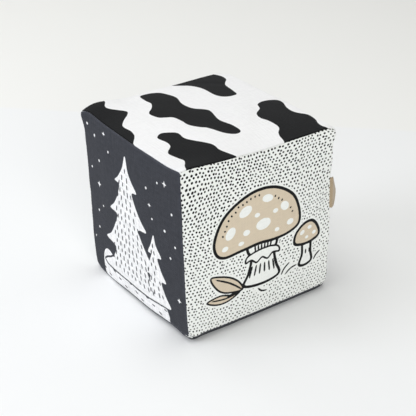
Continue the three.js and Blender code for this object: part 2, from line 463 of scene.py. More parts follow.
def outline_field(places, outline):
    """Signed distance in millimetres to a closed outline, negative inside and FAR well outside."""
    distance = np.full(len(places), FAR)
    near, x, y = near_line(places, outline)
    best = np.full(len(x), np.inf)
    inside = np.zeros(len(x), bool)
    for start, end in zip(outline, np.roll(outline, -1, axis=0)):
        best = np.minimum(best, stretch_gap(x, y, start, end)[0])
        if end[1] != start[1]:
            slope = (end[0] - start[0]) / (end[1] - start[1])
            inside ^= ((start[1] > y) != (end[1] > y)) & (x < start[0] + (y - start[1]) * slope)
    distance[near] = np.minimum(np.where(inside, -1, 1) * np.sqrt(best), FAR)
    return distance


def stroke_field(places, line, width, taper=0.6):
    """Distance in millimetres to a brush stroke's edge, negative inside. Its ends are thinner by taper."""
    distance = np.full(len(places), FAR)
    near, x, y = near_line(places, line)
    best = np.full(len(x), FAR)
    count = len(line) - 1
    for k in range(count):
        square, t = stretch_gap(x, y, line[k], line[k + 1])
        run = (k + t) / count
        half = width / 2 * (1 - taper * (2 * run - 1) ** 4)
        best = np.minimum(best, np.sqrt(square) - half)
    distance[near] = best
    return distance


def ellipse(x, y, half_width, half_height, tilt=0, steps=20):
    """A closed outline of an ellipse."""
    turn = np.linspace(0, 2 * np.pi, steps, endpoint=False)
    lean = math.radians(tilt)
    across = half_width * np.cos(turn)
    up = half_height * np.sin(turn)
    return np.column_stack([
        x + across * math.cos(lean) - up * math.sin(lean),
        y + across * math.sin(lean) + up * math.cos(lean),
    ])


def star(x, y, reach, waist=0.3):
    """A closed outline of a small four-pointed star."""
    turn = np.arange(8) * np.pi / 4 + np.pi / 2
    far = np.where(np.arange(8) % 2 == 0, reach, waist * reach)
    return np.column_stack([x + far * np.cos(turn), y + far * np.sin(turn)])


# Black hide-like patches of the top panel, in millimetres on that side: rounded wavy outlines
PATCHES = [
    [(-60, 40), (-56, 60), (-46, 62), (-36, 60), (-36, 50), (-39.5, 43), (-38.5, 39), (-32.5, 32),
     (-33.5, 28), (-40, 21.5), (-43.5, 16), (-43, 8), (-44.5, 1.5), (-49, -5), (-51, -9), (-60, -10),
     (-64, 20)],
    [(-14, 47), (-7.5, 47.5), (-2.5, 44), (-0.5, 38), (0.5, 30), (-2, 20.5), (-1, 11.5), (3.5, 6),
     (5, 1.5), (2, -11), (4, -21), (4, -29), (0, -31), (-5, -27), (-9, -16.5), (-12, -13), (-15, -7),
     (-15, 0), (-16, 7), (-19.5, 10), (-22.5, 12.5), (-24, 18.5), (-23, 22), (-19, 26), (-15.5, 32),
     (-15.5, 38)],
    [(22, 60), (36, 59), (42, 48), (42, 39), (36, 31), (34, 20), (32, 14), (25, 14), (21, 20), (21, 34),
     (18, 43), (11, 50), (10, 56)],
    [(-35, -7), (-31.5, -5.3), (-27, -8.5), (-25, -12), (-25.5, -18.5), (-23.5, -24), (-18, -34),
     (-18, -42), (-14, -54), (-14, -62), (-46, -62), (-45, -50), (-40, -41), (-40.5, -36), (-41.7, -29),
     (-40, -25.5), (-36.5, -22), (-35.5, -17), (-36.5, -10)],
    [(33, -5), (39, -3), (46, -5), (47, -10), (44, -18), (44, -25), (48, -32), (48, -39), (45, -47),
     (46, -60), (18, -60), (18, -48), (20, -42), (24, -37), (24, -29), (22, -22), (24, -16), (30, -11)],
]


def patch_field(places, degrees):
    """Distance to the black patches, turned about the middle of the side."""
    outlines = [smooth_line(patch, True) @ plan_turn(math.radians(degrees)) for patch in PATCHES]
    return np.min([outline_field(places, outline) for outline in outlines], axis=0)


# Front print: toadstools and leaves, tan with white spots and dark outlines, in millimetres before its scale
CAP = [(-33, -2), (-34, 7), (-28, 19), (-17, 27), (-3, 31), (11, 29), (22, 21), (27, 10), (27, 0),
       (20, -4), (8, -5), (-4, -4), (-16, -5), (-27, -6)]
STEM = [(-11, -4), (-9, -14), (-11, -24), (-14, -31), (-5, -34), (6, -34), (13, -31), (10, -23),
        (8, -14), (9, -4)]
FRILL = [(-12, -11), (-6, -9), (0, -8.5), (6, -9), (11, -11), (12, -15), (7, -14), (3, -17),
         (-1, -14.5), (-5, -17), (-9, -14), (-13, -15)]
SMALL_CAP = [(24, -15), (25, -8), (31, -3), (38, -3), (43, -9), (44, -15), (38, -17.5), (30, -17.5)]
SMALL_STEM = [(31, -17), (31, -25), (29, -32), (34, -34), (39, -32), (38, -25), (37, -17)]
LEAVES = [
    [(-15, -33), (-18, -26), (-26, -20), (-37, -17), (-34, -25), (-27, -31)],
    [(-17, -34), (-24, -34), (-31, -32), (-40, -34), (-33, -38), (-25, -38)],
]
LEAF_VEINS = [[(-15, -33), (-24, -25), (-34, -19)], [(-17, -34), (-27, -35.5), (-37, -34)]]
# Spots: place, half width, half height and tilt in degrees
CAP_SPOTS = [(-23, 9, 4.3, 3.0, 50), (-12, 20, 4.8, 3.0, 25), (0, 8, 5.2, 3.8, 5),
             (4, 24, 4.0, 2.4, -12), (16, 15, 3.4, 2.8, -45), (20, 3, 2.6, 2.0, 0),
             (-12, 6, 2.4, 2.0, 0), (-27, 0, 2.2, 1.7, 20), (9, 14, 1.9, 1.5, 0),
             (-4, 15.5, 1.9, 1.5, 0), (-16, 0, 2.0, 1.4, 0), (10, 1, 1.8, 1.4, 0)]
SMALL_SPOTS = [(30, -9, 2.0, 1.5, 30), (36, -7, 1.8, 1.3, -10), (40, -12, 1.6, 1.3, 0),
               (34, -13.5, 1.4, 1.1, 0)]
GRASS = [[(15, -34), (17, -30), (21, -27)], [(18, -35), (22, -32), (27, -31)],
         [(41, -33), (43, -30), (46, -28)], [(-3, -37), (0, -40), (4, -41)]]
# Short dashes inside the cap's upper edge: the arc that they follow, how far inside it they start, and the
# least that they keep from a spot
CAP_MIDDLE = (-3.5, -2)
CAP_REACH = (30.5, 33)
CAP_DASH_TURNS = np.linspace(158, 22, 22)
CAP_DASH_INSET = (2.4, 3.6)
CAP_DASH_LENGTH = 1.3
CAP_DASH_GAP = 0.8
# The size that the print is drawn at, its two brushes' widths before that, and the clear ground around it
TOADSTOOL_SCALE = 0.92
LINE_WIDTH = 1.95
FINE_LINE_WIDTH = 1.25
CLEAR_MARGIN = 1.6


def cap_dashes():
    """Short dashes that point in from the cap's upper edge, where no spot is."""
    rng = np.random.default_rng(sizes().seed)
    dashes = []
    for turn in np.radians(CAP_DASH_TURNS):
        outward = np.array([math.cos(turn), math.sin(turn)])
        start = CAP_MIDDLE + (np.array(CAP_REACH) - rng.uniform(*CAP_DASH_INSET)) * outward
        if min(math.dist(start, spot[:2]) - spot[2] for spot in CAP_SPOTS) >= CAP_DASH_GAP:
            dashes.append(np.array([start, start - CAP_DASH_LENGTH * outward]))
    return dashes


def stem_strokes():
    """Strokes down the big stem, short ones between its cap and frill, and dashes down the small stem."""
    strokes = [np.array([(x, -22.0), (x, -25.5)]) for x in (31.0, 34.0, 37.0)]
    for x in np.linspace(-8, 7, 6):
        lean = 0.12 * x
        strokes.append(smooth_line([(x, -19), (x + lean, -23), (x + 2 * lean, -26 - abs(lean))], False))
        strokes.append(smooth_line([(0.8 * x, -5.5), (0.75 * x, -8)], False))
    return strokes


def drawn_edge(distance, width):
    """Distance to a line of some width along the edge of a shape, from the distance to the shape."""
    return np.abs(distance) - width / 2


def toadstool_fields(places):
    """Distances to the tan ink, to the dark ink and to the whole print with its clear margin."""
    places = places / TOADSTOOL_SCALE
    outlines = (CAP, SMALL_CAP, STEM, SMALL_STEM, FRILL, *LEAVES)
    shapes = [outline_field(places, smooth_line(outline, True)) for outline in outlines]
    cap, small_cap, stem, small_stem, frill, *leaves = shapes
    spots = [outline_field(places, ellipse(*spot)) for spot in CAP_SPOTS + SMALL_SPOTS]
    tan = np.maximum(np.min([cap, small_cap, *leaves], axis=0), -np.min(spots, axis=0))

    blades = [smooth_line(line, False) for line in GRASS]
    blades = [stroke_field(places, line, FINE_LINE_WIDTH) for line in blades]
    strokes = [smooth_line(line, False) for line in LEAF_VEINS] + cap_dashes() + stem_strokes()
    strokes = [stroke_field(places, line, FINE_LINE_WIDTH) for line in strokes]
    ink = np.min([
        drawn_edge(cap, LINE_WIDTH),
        drawn_edge(small_cap, LINE_WIDTH),
        np.maximum(drawn_edge(stem, LINE_WIDTH), -np.minimum(frill, cap)),
        np.maximum(drawn_edge(small_stem, LINE_WIDTH), -small_cap),
        *[drawn_edge(shape, FINE_LINE_WIDTH) for shape in (frill, *leaves)],
        *blades,
        *strokes,
    ], axis=0)
    whole = np.min(shapes + blades, axis=0) - CLEAR_MARGIN
    return [TOADSTOOL_SCALE * distance for distance in (tan, ink, whole)]


# Left print: fir trees in snow, white with dark dashes, under small stars and dots
FIR = [(-3, 41), (-6, 33), (-11, 26), (-15, 22), (-10, 21), (-13, 13), (-18, 6), (-23, 1), (-15, 0),
       (-19, -9), (-25, -17), (-31, -22), (-20, -24), (-25, -34), (-34, -42), (26, -42), (19, -33),
       (15, -24), (25, -22), (19, -16), (13, -8), (9, 0), (17, 2), (12, 7), (7, 14), (4, 21), (9, 23),
       (4, 28), (0, 33)]
SMALL_FIR = [(24, 4), (21, -3), (18, -9), (21, -10), (17, -18), (13, -24), (18, -25), (13, -34), (8, -41),
             (35, -41), (32, -33), (29, -25), (34, -23), (30, -17), (27, -10), (31, -8), (26, -2)]
SNOW = [(-39, -44), (-37, -36), (-31, -32), (-22, -35), (-10, -39), (4, -36), (14, -38), (22, -40),
        (28, -37), (31, -42), (33, -49), (29, -53), (12, -51), (-6, -53), (-24, -51), (-36, -53)]
# Dots and stars: place, and radius or reach
SMALL_DOTS = [(-46, 44, 0.85), (-38, 40, 0.85), (-45, 18, 0.75), (-34, 26, 0.9), (-33, -3, 0.7),
              (-40, -9, 0.8), (-41, -21, 0.8), (-47, -30, 0.7), (43, 25, 0.8), (36, 12, 0.9),
              (45, 6, 0.75), (40, -3, 0.8), (19, 31, 0.8), (30, 38, 0.7), (-22, 36, 0.8), (24, 14, 0.7)]
STARS = [(-37, 10, 2.7), (37, 40, 2.5), (46, -28, 2.4), (-27, 45, 1.9), (22, 22, 2.0)]
# The dashes of the two trees: the left, right, top and bottom of their rows, the steps across and down, the
# share of the tree's width that a row takes up at the tip and gains down to the foot, and where it starts
# in half widths. Then how far a dash slants at a row's end, the least and most of its length and of its
# shift, its width, and how much thinner its ends are.
DASHED_AREAS = ((-30, 22, 33, -36), (12, 32, -2, -38))
DASH_STEP = (4.4, 4.6)
ROW_SHARE = (0.16, 0.72)
ROW_START = -0.9
DASH_SLANT = 0.9
DASH_LENGTH = (2.0, 3.2)
DASH_SHIFT = (-0.5, 0.5)
DASH_WIDTH = 1.15
DASH_TAPER = 0.4
# Small marks in the snow: how many, the first one's place, their step across and down, how far each one
# runs, and their width. TREE_GAP is the dark ground left between the trees' edges and the snow.
SNOW_MARKS = 16
SNOW_MARK_START = (-46, -44)
SNOW_MARK_STEP = (6.2, 2.5)
SNOW_MARK_RUN = (2.6, -0.5)
SNOW_MARK_WIDTH = 1.0
TREE_GAP = 1.1


def fir_dashes(left, right, top, bottom, rng):
    """Short slanted dashes in rows down a tree, wider apart towards its foot."""
    dashes = []
    middle = (left + right) / 2
    for row, y in enumerate(np.arange(top, bottom, -DASH_STEP[1])):
        share = (top - y) / (top - bottom)
        half = (right - left) / 2 * (ROW_SHARE[0] + ROW_SHARE[1] * share)
        count = max(2, round(2 * half / DASH_STEP[0]))
        for k in range(count):
            along = ROW_START + 2 * (k + 0.5 * (row % 2)) / count
            x = middle + half * along + rng.uniform(*DASH_SHIFT)
            slant = DASH_SLANT * (x - middle) / (half + 1)
            dashes.append(np.array([(x, y), (x + slant, y - rng.uniform(*DASH_LENGTH))]))
    return dashes


def sky_field(places, dots, stars):
    """Distance to small white dots and stars."""
    gaps = [np.hypot(*(places - dot[:2]).T) - dot[2] for dot in dots]
    gaps += [outline_field(places, star(*each)) for each in stars]
    return np.min(gaps, axis=0)


def fir_field(places):
    """Distance to the white ink of the left print, negative on the ink."""
    rng = np.random.default_rng(sizes().seed)
    dashes = [dash for area in DASHED_AREAS for dash in fir_dashes(*area, rng)]
    dark = np.min([stroke_field(places, dash, DASH_WIDTH, DASH_TAPER) for dash in dashes], axis=0)
    trees = np.min([outline_field(places, smooth_line(tree, True, 4)) for tree in (FIR, SMALL_FIR)], axis=0)
    snow = np.maximum(outline_field(places, smooth_line(SNOW, True)), TREE_GAP - trees)
    for k in range(SNOW_MARKS):
        start = np.array(SNOW_MARK_START) + np.array(SNOW_MARK_STEP) * (k, -(k % 3))
        mark = stroke_field(places, np.array([start, start + SNOW_MARK_RUN]), SNOW_MARK_WIDTH, DASH_TAPER)
        snow = np.maximum(snow, -mark)
    return np.min([np.maximum(trees, -dark), snow, sky_field(places, SMALL_DOTS, STARS)], axis=0)


# Bottom panel: the left panel's dots and stars without the trees
BOTTOM_DOTS = [(-38, 30, 0.85), (-20, 40, 0.7), (4, 34, 0.8), (27, 41, 0.9), (40, 22, 0.75),
               (18, 17, 0.8), (-8, 12, 0.8), (-30, 8, 0.9), (-42, -14, 0.8), (-14, -12, 0.75),
               (10, -6, 0.85), (33, -4, 0.7), (42, -30, 0.8), (20, -28, 0.9), (-4, -34, 0.75),
               (-26, -38, 0.85)]
BOTTOM_STARS = [(-10, 27, 2.6), (30, 8, 2.4), (-32, -24, 2.7), (12, -40, 2.3), (-44, 42, 2.2),
                (44, 44, 2.0)]


def print_fields(name, places):
    """The print of one side, as named distances in millimetres that its material reads."""
    if name in ("front", "back"):
        inks = toadstool_fields(places) if name == "front" else [np.full(len(places), FAR)] * 3
        return dict(zip(("tan_ink", "dark_ink", "clear"), inks))
    if name == "left":
        return {"white_ink": fir_field(places)}
    if name == "bottom":
        return {"white_ink": sky_field(places, BOTTOM_DOTS, BOTTOM_STARS)}
    return {"dark_ink": patch_field(places, {"top": 0, "right": 90}[name])}


# Mesh helpers

def new_object(name, mesh, materials):
    piece = bpy.data.objects.new(name, mesh)
    bpy.context.scene.collection.objects.link(piece)
    for material in materials:
        mesh.materials.append(material)
    mesh.polygons.foreach_set("use_smooth", np.ones(len(mesh.polygons), bool))
    return piece


def mesh_from(bm, name):
    mesh = bpy.data.meshes.new(name)
    bm.to_mesh(mesh)
    bm.free()
    return mesh


def points_of(mesh):
    points = np.empty(len(mesh.vertices) * 3)
    mesh.vertices.foreach_get("co", points)
    return points.reshape(-1, 3)


def set_points(mesh, points):
    mesh.vertices.foreach_set("co", points.ravel())
    mesh.update()


def add_field(mesh, name, values):
    """Stores one value at each vertex, for the mesh's material."""
    attribute = mesh.attributes.new(name, "FLOAT", "POINT")
    attribute.data.foreach_set("value", np.ascontiguousarray(values, dtype=np.float32))


def add_map(mesh, flat):
    """A UV map from each vertex's flat place on the cloth, in metres."""
    corners = np.empty(len(mesh.loops), dtype=np.int32)
    mesh.loops.foreach_get("vertex_index", corners)
    layer = mesh.uv_layers.new(name="cloth")
    layer.uv.foreach_set("vector", flat[corners].ravel())


def declare(piece, body, node):
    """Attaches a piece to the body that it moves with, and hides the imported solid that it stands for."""
    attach(piece, body)
    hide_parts(node)


# Panels

# How square the cloth stays at a panel's corner, where the rolls of its two edges meet
CORNER_SQUARENESS = 4


def panel_piece(name):
    """One panel from cut edge to cut edge: its mesh, each vertex's roll share, and its flat size."""
    s = sizes()
    axes = [np.array(direction, float) for direction in SIDES[name]]
    right, up, out = axes
    half = [side_half(right), side_half(up)]
    lines = [panel_lines(half[k], ALLOWANCE_DROPS[k]) for k in (0, 1)]
    counts = [len(line[0]) - 1 for line in lines]
    bm = bmesh.new()
    bmesh.ops.create_grid(bm, x_segments=counts[0], y_segments=counts[1], size=0.5)
    mesh = mesh_from(bm, f"{name}_cloth")
    unit = points_of(mesh)
    index = [np.rint((unit[:, k] + 0.5) * counts[k]).astype(int) for k in (0, 1)]
    place, drop, flat, roll = [[lines[k][row][index[k]] for k in (0, 1)] for row in range(4)]

    rng = np.random.default_rng(s.seed + list(SIDES).index(name))
    depth = crease_relief(flat[0], flat[1], CREASES[name])
    pull = [np.zeros_like(depth), np.zeros_like(depth)]
    for k in (0, 1):
        for sign in (-1, 1):
            on_side = np.where(np.sign(flat[k]) == sign, roll[k], 0)
            inset = np.maximum(half[k] - sign * flat[k], 0)
            folds = radiating_folds(rng, half[1 - k])
            ends = out + sign * axes[k]
            axis = int(np.argmin(np.abs(ends)))
            signs = [float(ends[j]) for j in range(3) if j != axis]
            pinch = seam_pinch(place[1 - k] * axes[1 - k][axis], seam_phase(axis, signs))
            depth += seam_relief(flat[1 - k], inset, on_side, folds, pinch)
            reach = np.exp(-inset / PULL_REACH) * (1 - PULL_ROLL_LOSS * on_side)
            pull[k] -= sign * PULL_SHARE * s.pucker * pinch * reach
    if name in ("front", "right"):
        sign = 1 if name == "front" else -1
        on_side = np.where(np.sign(flat[0]) == sign, roll[0], 0)
        spread = SPREAD_PUSH * tab_spread(place[1], on_side)
        place[0] = place[0] - sign * spread
        depth -= spread

    place = [place[k] + pull[k] for k in (0, 1)]
    down = sum(np.abs(part) ** CORNER_SQUARENESS for part in drop) ** (1 / CORNER_SQUARENESS)
    height = side_half(out) - down - depth
    set_points(mesh, settle(sum(part[:, None] * axis for part, axis in zip((*place, height), axes))))

    cloth = np.column_stack(flat)
    add_map(mesh, cloth)
    add_field(mesh, "seam_inset", (half - np.abs(cloth)).min(axis=1) / MM)
    for ink, values in print_fields(name, cloth / MM).items():
        add_field(mesh, ink, values)
    return mesh, np.maximum(*roll), [2 * line[2].max() for line in lines]


PANEL_SLOTS = {"front": "dotted_canvas", "back": "dotted_canvas", "left": "charcoal_canvas",
               "bottom": "charcoal_canvas", "top": "patched_canvas", "right": "patched_canvas"}


def make_panel(name, finishes, wrong_side):
    """One panel of canvas, at full thickness on its face and pressed thinner in the seams."""
    s = sizes()
    mesh, roll, flat = panel_piece(name)
    slot = PANEL_SLOTS[name]
    piece = new_object(f"{name}_canvas", mesh, [finishes[slot], wrong_side])
    group = piece.vertex_groups.new(name="full_cloth")
    for weight, chosen in ((0.0, roll > 0), (1.0, roll <= 0)):
        group.add(np.flatnonzero(chosen).tolist(), weight, "REPLACE")
    wall = piece.modifiers.new("Cloth", "SOLIDIFY")
    wall.thickness = s.cloth
    wall.offset = -1
    wall.vertex_group = group.name
    wall.thickness_vertex_group = s.rolled_cloth / s.cloth
    wall.material_offset = 1
    wall.material_offset_rim = 1
    declare(piece, "block", f"{name}_panel")


# Core

# How far the foam's faces lie inside the seams, how far their middles rise to fill the crowned cover, and
# how far in from the edges that rise starts and is full
CORE_INSET = 2.1 * MM
CORE_RISE = 1.3 * MM
CORE_RISE_START = 9.5 * MM
CORE_RISE_RUN = 3 * MM
CORE_CUTS = 63


def make_core(material):
    """The sawn foam block that fills the cover, with its edges rounded."""
    s = sizes()
    bm = bmesh.new()
    bmesh.ops.create_cube(bm, size=2)
    bmesh.ops.subdivide_edges(bm, edges=bm.edges[:], cuts=CORE_CUTS, use_grid_fill=True)
    mesh = mesh_from(bm, "cut_foam")
    share = points_of(mesh)
    outer = HALF - CORE_INSET
    inner = outer - s.core_edge
    place = share * outer
    kept = np.clip(place, -inner, inner)
    reach = place - kept
    away = reach / np.maximum(np.linalg.norm(reach, axis=1), 1e-9)[:, None]
    rounded = kept + away * s.core_edge
    level = np.abs(share) >= 1 - 1e-6
    out = level & (np.sum(level, axis=1) == 1)[:, None]
    gap = HALF - np.abs(place)
    gap[out] = np.inf
    fade = np.clip((gap.min(axis=1) - CORE_RISE_START) / CORE_RISE_RUN, 0, 1)
    rounded += np.sign(share) * out * CORE_RISE * fade[:, None]
    set_points(mesh, settle(rounded))
    piece = new_object("cut_foam_core", mesh, [material])
    declare(piece, "block", "foam_core")


# Threads

# How far in from the block's sharp edge the stitches lie, as a share of the roll radius
STITCH_INSET = 2.0
# Machine stitches: how far the thread dips between needle holes and swings from side to side, the points
# along each stitch, and the thread's own sides
MACHINE_DIP = 0.12 * MM
MACHINE_SWING = 0.10 * MM
MACHINE_STEPS = 6
MACHINE_SIDES = 6
# Hand stitches that wind around the closed seam: the radius of their turns, and the same two counts
WHIP_RADIUS = 0.75 * MM
WHIP_STEPS = 14
WHIP_SIDES = 7


def tube_mesh(name, centres, diameter, sides):
    """A round thread through a row of centres: a cylinder, cut across and laid along them."""
    rings = len(centres)
    bm = bmesh.new()
    bmesh.ops.create_cone(bm, cap_ends=True, segments=sides, radius1=0.5, radius2=0.5, depth=1)
    long_edges = [edge for edge in bm.edges if abs(edge.verts[0].co.z - edge.verts[1].co.z) > 0.5]
    bmesh.ops.subdivide_edges(bm, edges=long_edges, cuts=rings - 2)
    mesh = mesh_from(bm, name)
    unit = points_of(mesh)
    ring = np.rint((unit[:, 2] + 0.5) * (rings - 1)).astype(int)
    heading = np.gradient(centres, axis=0)
    heading /= np.linalg.norm(heading, axis=1)[:, None]
    middle = centres.mean(axis=0) - (0, 0, REST_HEIGHT)
    # A seam's middle is far out in two directions, which point outward, and near the middle in the third
    outward = middle * (np.abs(middle) > 0.4 * HALF)
    first = np.cross(heading, outward)
    first /= np.linalg.norm(first, axis=1)[:, None]
    second = np.cross(heading, first)
    offset = unit[:, 0:1] * first[ring] + unit[:, 1:2] * second[ring]
    set_points(mesh, centres[ring] + diameter * offset)
    return mesh


def seam_of(node):
    """The direction and place of a packed seam thread, from its box."""
    low, high = (np.array(corner) - (0, 0, REST_HEIGHT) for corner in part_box(node))
    axis = int(np.argmax(high - low))
    middle = (low + high) / 2
    signs = [math.copysign(1, middle[k]) for k in range(3) if k != axis]
    return axis, signs, low[axis], high[axis]


def stitch_line(node, stitch, steps, dip, swing, swing_turns):
    """The middle line of a seam's thread. It dips once a stitch, and swings aside swing_turns times."""
    axis, signs, start, end = seam_of(node)
    count = max(2, round((end - start) / stitch * steps))
    along = np.linspace(start, end, count + 1)
    turn = 2 * np.pi * along / stitch
    inset = STITCH_INSET * sizes().roll + dip * np.cos(turn)
    aside = swing * np.sin(swing_turns * turn)
    points = np.zeros((len(along), 3))
    points[:, axis] = along
    others = [k for k in range(3) if k != axis]
    for k, sign, lean in zip(others, signs, (1, -1)):
        points[:, k] = sign * (HALF[k] - inset + lean * aside)
    return settle(points)


def make_threads(material):
    """Lock stitches of each seam: the thread shows at each needle hole and dips between the holes."""
    s = sizes()
    nodes = [name for name in frame["nodes"] if name.startswith("seam_thread_")]
    if not nodes:
        raise RuntimeError("the frame holds no seam thread")
    for node in nodes:
        centres = stitch_line(node, s.stitch, MACHINE_STEPS, MACHINE_DIP, MACHINE_SWING, 0.5)
        mesh = tube_mesh(node, centres, s.thread, MACHINE_SIDES)
        piece = new_object(node.replace("seam_thread", "lock_stitches"), mesh, [material])
        declare(piece, "block", node)


def make_closing(material):
    """Whip stitches over the stretch that was left open to put the core in."""
    s = sizes()
    centres = stitch_line("closing_thread", s.closing_stitch, WHIP_STEPS, WHIP_RADIUS, WHIP_RADIUS, 1)
    centres[:, 2] = np.maximum(centres[:, 2], s.closing_thread / 2)
    mesh = tube_mesh("closing_stitches", centres, s.closing_thread, WHIP_SIDES)
    piece = new_object("closing_whip_stitches", mesh, [material])
    declare(piece, "block", "closing_thread")


# Tape tab

# How often the tape is cut along its length, so that it can bend across
TAPE_CUTS = 17
# The share of the tape's thickness that is left where it is folded, and where it is pressed into the seam
LOOP_THICKNESS = 0.92
ROOT_THICKNESS = 0.9
# The loop's shape across the tape, where -1 and 1 are the tape's edges: where it stands out the furthest,
# how its reach falls off to both sides, and how flat it is pressed at the edges
LOOP_PEAK = -0.19
LOOP_FALL = 1.45
LOOP_PRESS = 0.85
# The loop's slight wave: its height, and its angle's change over half the tape and value in the middle.
# LOOP_NARROWING is how much the tape narrows on each side.
LOOP_WAVE = 0.5 * MM
LOOP_WAVE_TURN = (2.1, 0.6)
LOOP_NARROWING = 0.3 * MM
# How deep the tape's ends lie in the seam, how far short of the hinge they stop, in tape thicknesses, and
# how they are tucked in towards the tape's edges
ROOT_DEPTH = 4.0 * MM
ROOT_STOP = 0.75
ROOT_TUCK = 0.8
ROOT_TUCK_POWER = 3


def tape_band(path):
    """A band of tape: a grid laid along its path in plan."""
    bm = bmesh.new()
    bmesh.ops.create_grid(bm, x_segments=len(path) - 1, y_segments=TAPE_CUTS + 1, size=0.5)
    for vert in bm.verts:
        step = round((vert.co.x + 0.5) * (len(path) - 1))
        vert.co = (*path[step], vert.co.y * tape_width())
    return bm


def bend(middle, reach, half_width, start, end, count):
    """Points around a bend of the tape in plan, between two angles in degrees."""
    turns = np.radians(np.linspace(start, end, count))
    return [(middle + reach * math.cos(a), half_width * math.sin(a)) for a in turns]


def add_tape(name, mesh, material, thickness, body, node):
    """A piece of tape from its middle layer."""
    piece = new_object(name, mesh, [material])
    wall = piece.modifiers.new("Tape", "SOLIDIFY")
    wall.thickness = thickness
    wall.offset = 0
    declare(piece, body, node)


def make_tab_loop(material):
    """The free loop: two layers from a rolled edge on the fold line to the round fold."""
    s = sizes()
    reach = s.tab_reach
    bead = s.tape / 2
    fold = (s.tape_gap + s.tape) / 2
    centre = reach - s.tape_gap / 2 - s.tape
    straight = [(centre * t, bead + (fold - bead) * t) for t in np.linspace(0, 1, 12)[1:-1]]
    path = bend(0, bead, bead, 90, 270, 9)
    path += [(x, -y) for x, y in straight]
    path += bend(centre, fold, fold, -90, 90, 11)
    path += straight[::-1]
    path.append(path[0])
    bm = tape_band(path)
    bmesh.ops.remove_doubles(bm, verts=bm.verts[:], dist=0.01 * MM)
    bmesh.ops.recalc_face_normals(bm, faces=bm.faces[:])
    mesh = mesh_from(bm, "tape_loop")
    points = points_of(mesh)

    path = np.array(path)
    nearest = [np.argmin(np.hypot(*(path[:-1] - point[:2]).T)) for point in points]
    steps = np.hypot(*np.diff(path, axis=0).T)
    run = np.concatenate([[0], np.cumsum(steps)])[nearest]
    add_map(mesh, np.column_stack([run, points[:, 2]]))

    level = 2 * points[:, 2] / tape_width()
    out = np.clip(points[:, 0] / reach, 0, 1)
    away = np.abs(level - LOOP_PEAK) / np.where(level > LOOP_PEAK, 1 - LOOP_PEAK, 1 + LOOP_PEAK)
    wave = LOOP_WAVE * np.sin(LOOP_WAVE_TURN[0] * level + LOOP_WAVE_TURN[1])
    points[:, 0] -= out * (reach - s.tab_edge_reach) * away ** LOOP_FALL
    points[:, 1] *= 1 - LOOP_PRESS * away ** 2
    points[:, 1] += out * wave
    points[:, 2] -= out * LOOP_NARROWING * level
    points[:, :2] = points[:, :2] @ plan_turn(TAB_REST)
    set_points(mesh, points + HINGE)
    add_tape("twill_tape_loop", mesh, material, LOOP_THICKNESS * s.tape, "tab", "tape_tab_loop")


def make_tab_root(material):
    """The tape's two ends: two layers from inside the seam to the fold line."""
    s = sizes()
    seam = settle(np.array([[HALF[0], -HALF[1], HINGE[2] - REST_HEIGHT]]))[0]
    outer = float(np.hypot(*(HINGE[:2] - seam[:2]))) - ROOT_STOP * s.tape
    side = s.tape / 2
    layer = [(-ROOT_DEPTH, side), (-ROOT_DEPTH / 2, side), (0, side), (0.6 * outer, 0.95 * side)]
    path = layer + bend(outer, 0.6 * side, 0.9 * side, 90, -90, 7)
    path += [(x, -y) for x, y in layer[::-1]]
    bm = tape_band(path)
    bmesh.ops.recalc_face_normals(bm, faces=bm.faces[:])
    mesh = mesh_from(bm, "tape_ends")
    points = points_of(mesh)
    run = np.abs(points[:, 0]) * np.sign(points[:, 1] + 1e-9)
    add_map(mesh, np.column_stack([run, points[:, 2]]))
    tucked = ROOT_TUCK * np.abs(2 * points[:, 2] / tape_width()) ** ROOT_TUCK_POWER
    points[:, 0] -= np.maximum(points[:, 0], 0) * tucked
    points[:, :2] = points[:, :2] @ plan_turn(-math.pi / 4)
    set_points(mesh, points + (seam[0], seam[1], HINGE[2]))
    add_tape("twill_tape_ends", mesh, material, ROOT_THICKNESS * s.tape, "block", "tape_tab_root")


# Materials

# How far a thicker yarn runs, in yarns, and how wide a worn spot is, and the depth of the weave
SLUB_YARNS = 14
WORN_SPOT = 2.6 * MM
WEAVE_DEPTH = 0.12 * MM
# How wide the spots are where ink soaked further along the yarns, and in millimetres how far apart the least
# and the most soaked places of its edge are, and the soft border that is left
SOAKED_SPOT = 1.4 * MM
SOAKED_REACH = 0.35
INK_SOFTNESS = 0.09
# The front print's dots: how far their rows bend in all, in dot steps, and how often in one step, how
# loosely each dot lies in its row, the least and most of its radius as a share of the dot width, and how
# the press changed it across the middle 100 mm of the panel, from the lower right to the upper left
DOT_BEND = 3.0
DOT_BEND_SCALE = 0.07
DOT_LOOSENESS = 0.38
DOT_RADIUS = (0.44, 0.56)
DOT_PRESS = (0.80, 1.16)
DOT_PRESS_WAY = (-0.4, 0.9, 0.0)
DOT_PRESS_HALF = 50 * MM
# Foam cells, paler and darker patches in the foam and the depth of its pits
FOAM_CELL = 0.9 * MM
FOAM_PATCH = 12 * MM
FOAM_PIT = 0.3 * MM
# Scale of the thread's twist, whose turns come out about 5.7 mm long, and the depth between its plies
PLY_TWIST = 9 * MM
PLY_DEPTH = 0.05 * MM
# Herringbone of the tape: its ribs, how many ribs a row goes up before it turns down, the ribs' depth, and
# its loose fibres
TWILL_RIB = 1.1 * MM
TWILL_ROW = 3.0
TWILL_DEPTH = 0.12 * MM
TWILL_FIBRE = 0.7 * MM


def add(tree, kind, inputs=(), **settings):
    """Adds a node with its settings, and links or sets its inputs."""
    node = tree.nodes.new(kind)
    for name, value in settings.items():
        setattr(node, name, value)
    for socket, value in dict(inputs).items():
        if isinstance(value, bpy.types.NodeSocket):
            tree.links.new(value, node.inputs[socket])
        else:
            node.inputs[socket].default_value = value
    return node


def times(base, factor):
    """A linear colour made darker or paler."""
    return [factor * value for value in base]


def start_material(name):
    material = bpy.data.materials.new(name)
    material.use_nodes = True
    tree = material.node_tree
    tree.nodes.clear()
    return material, tree


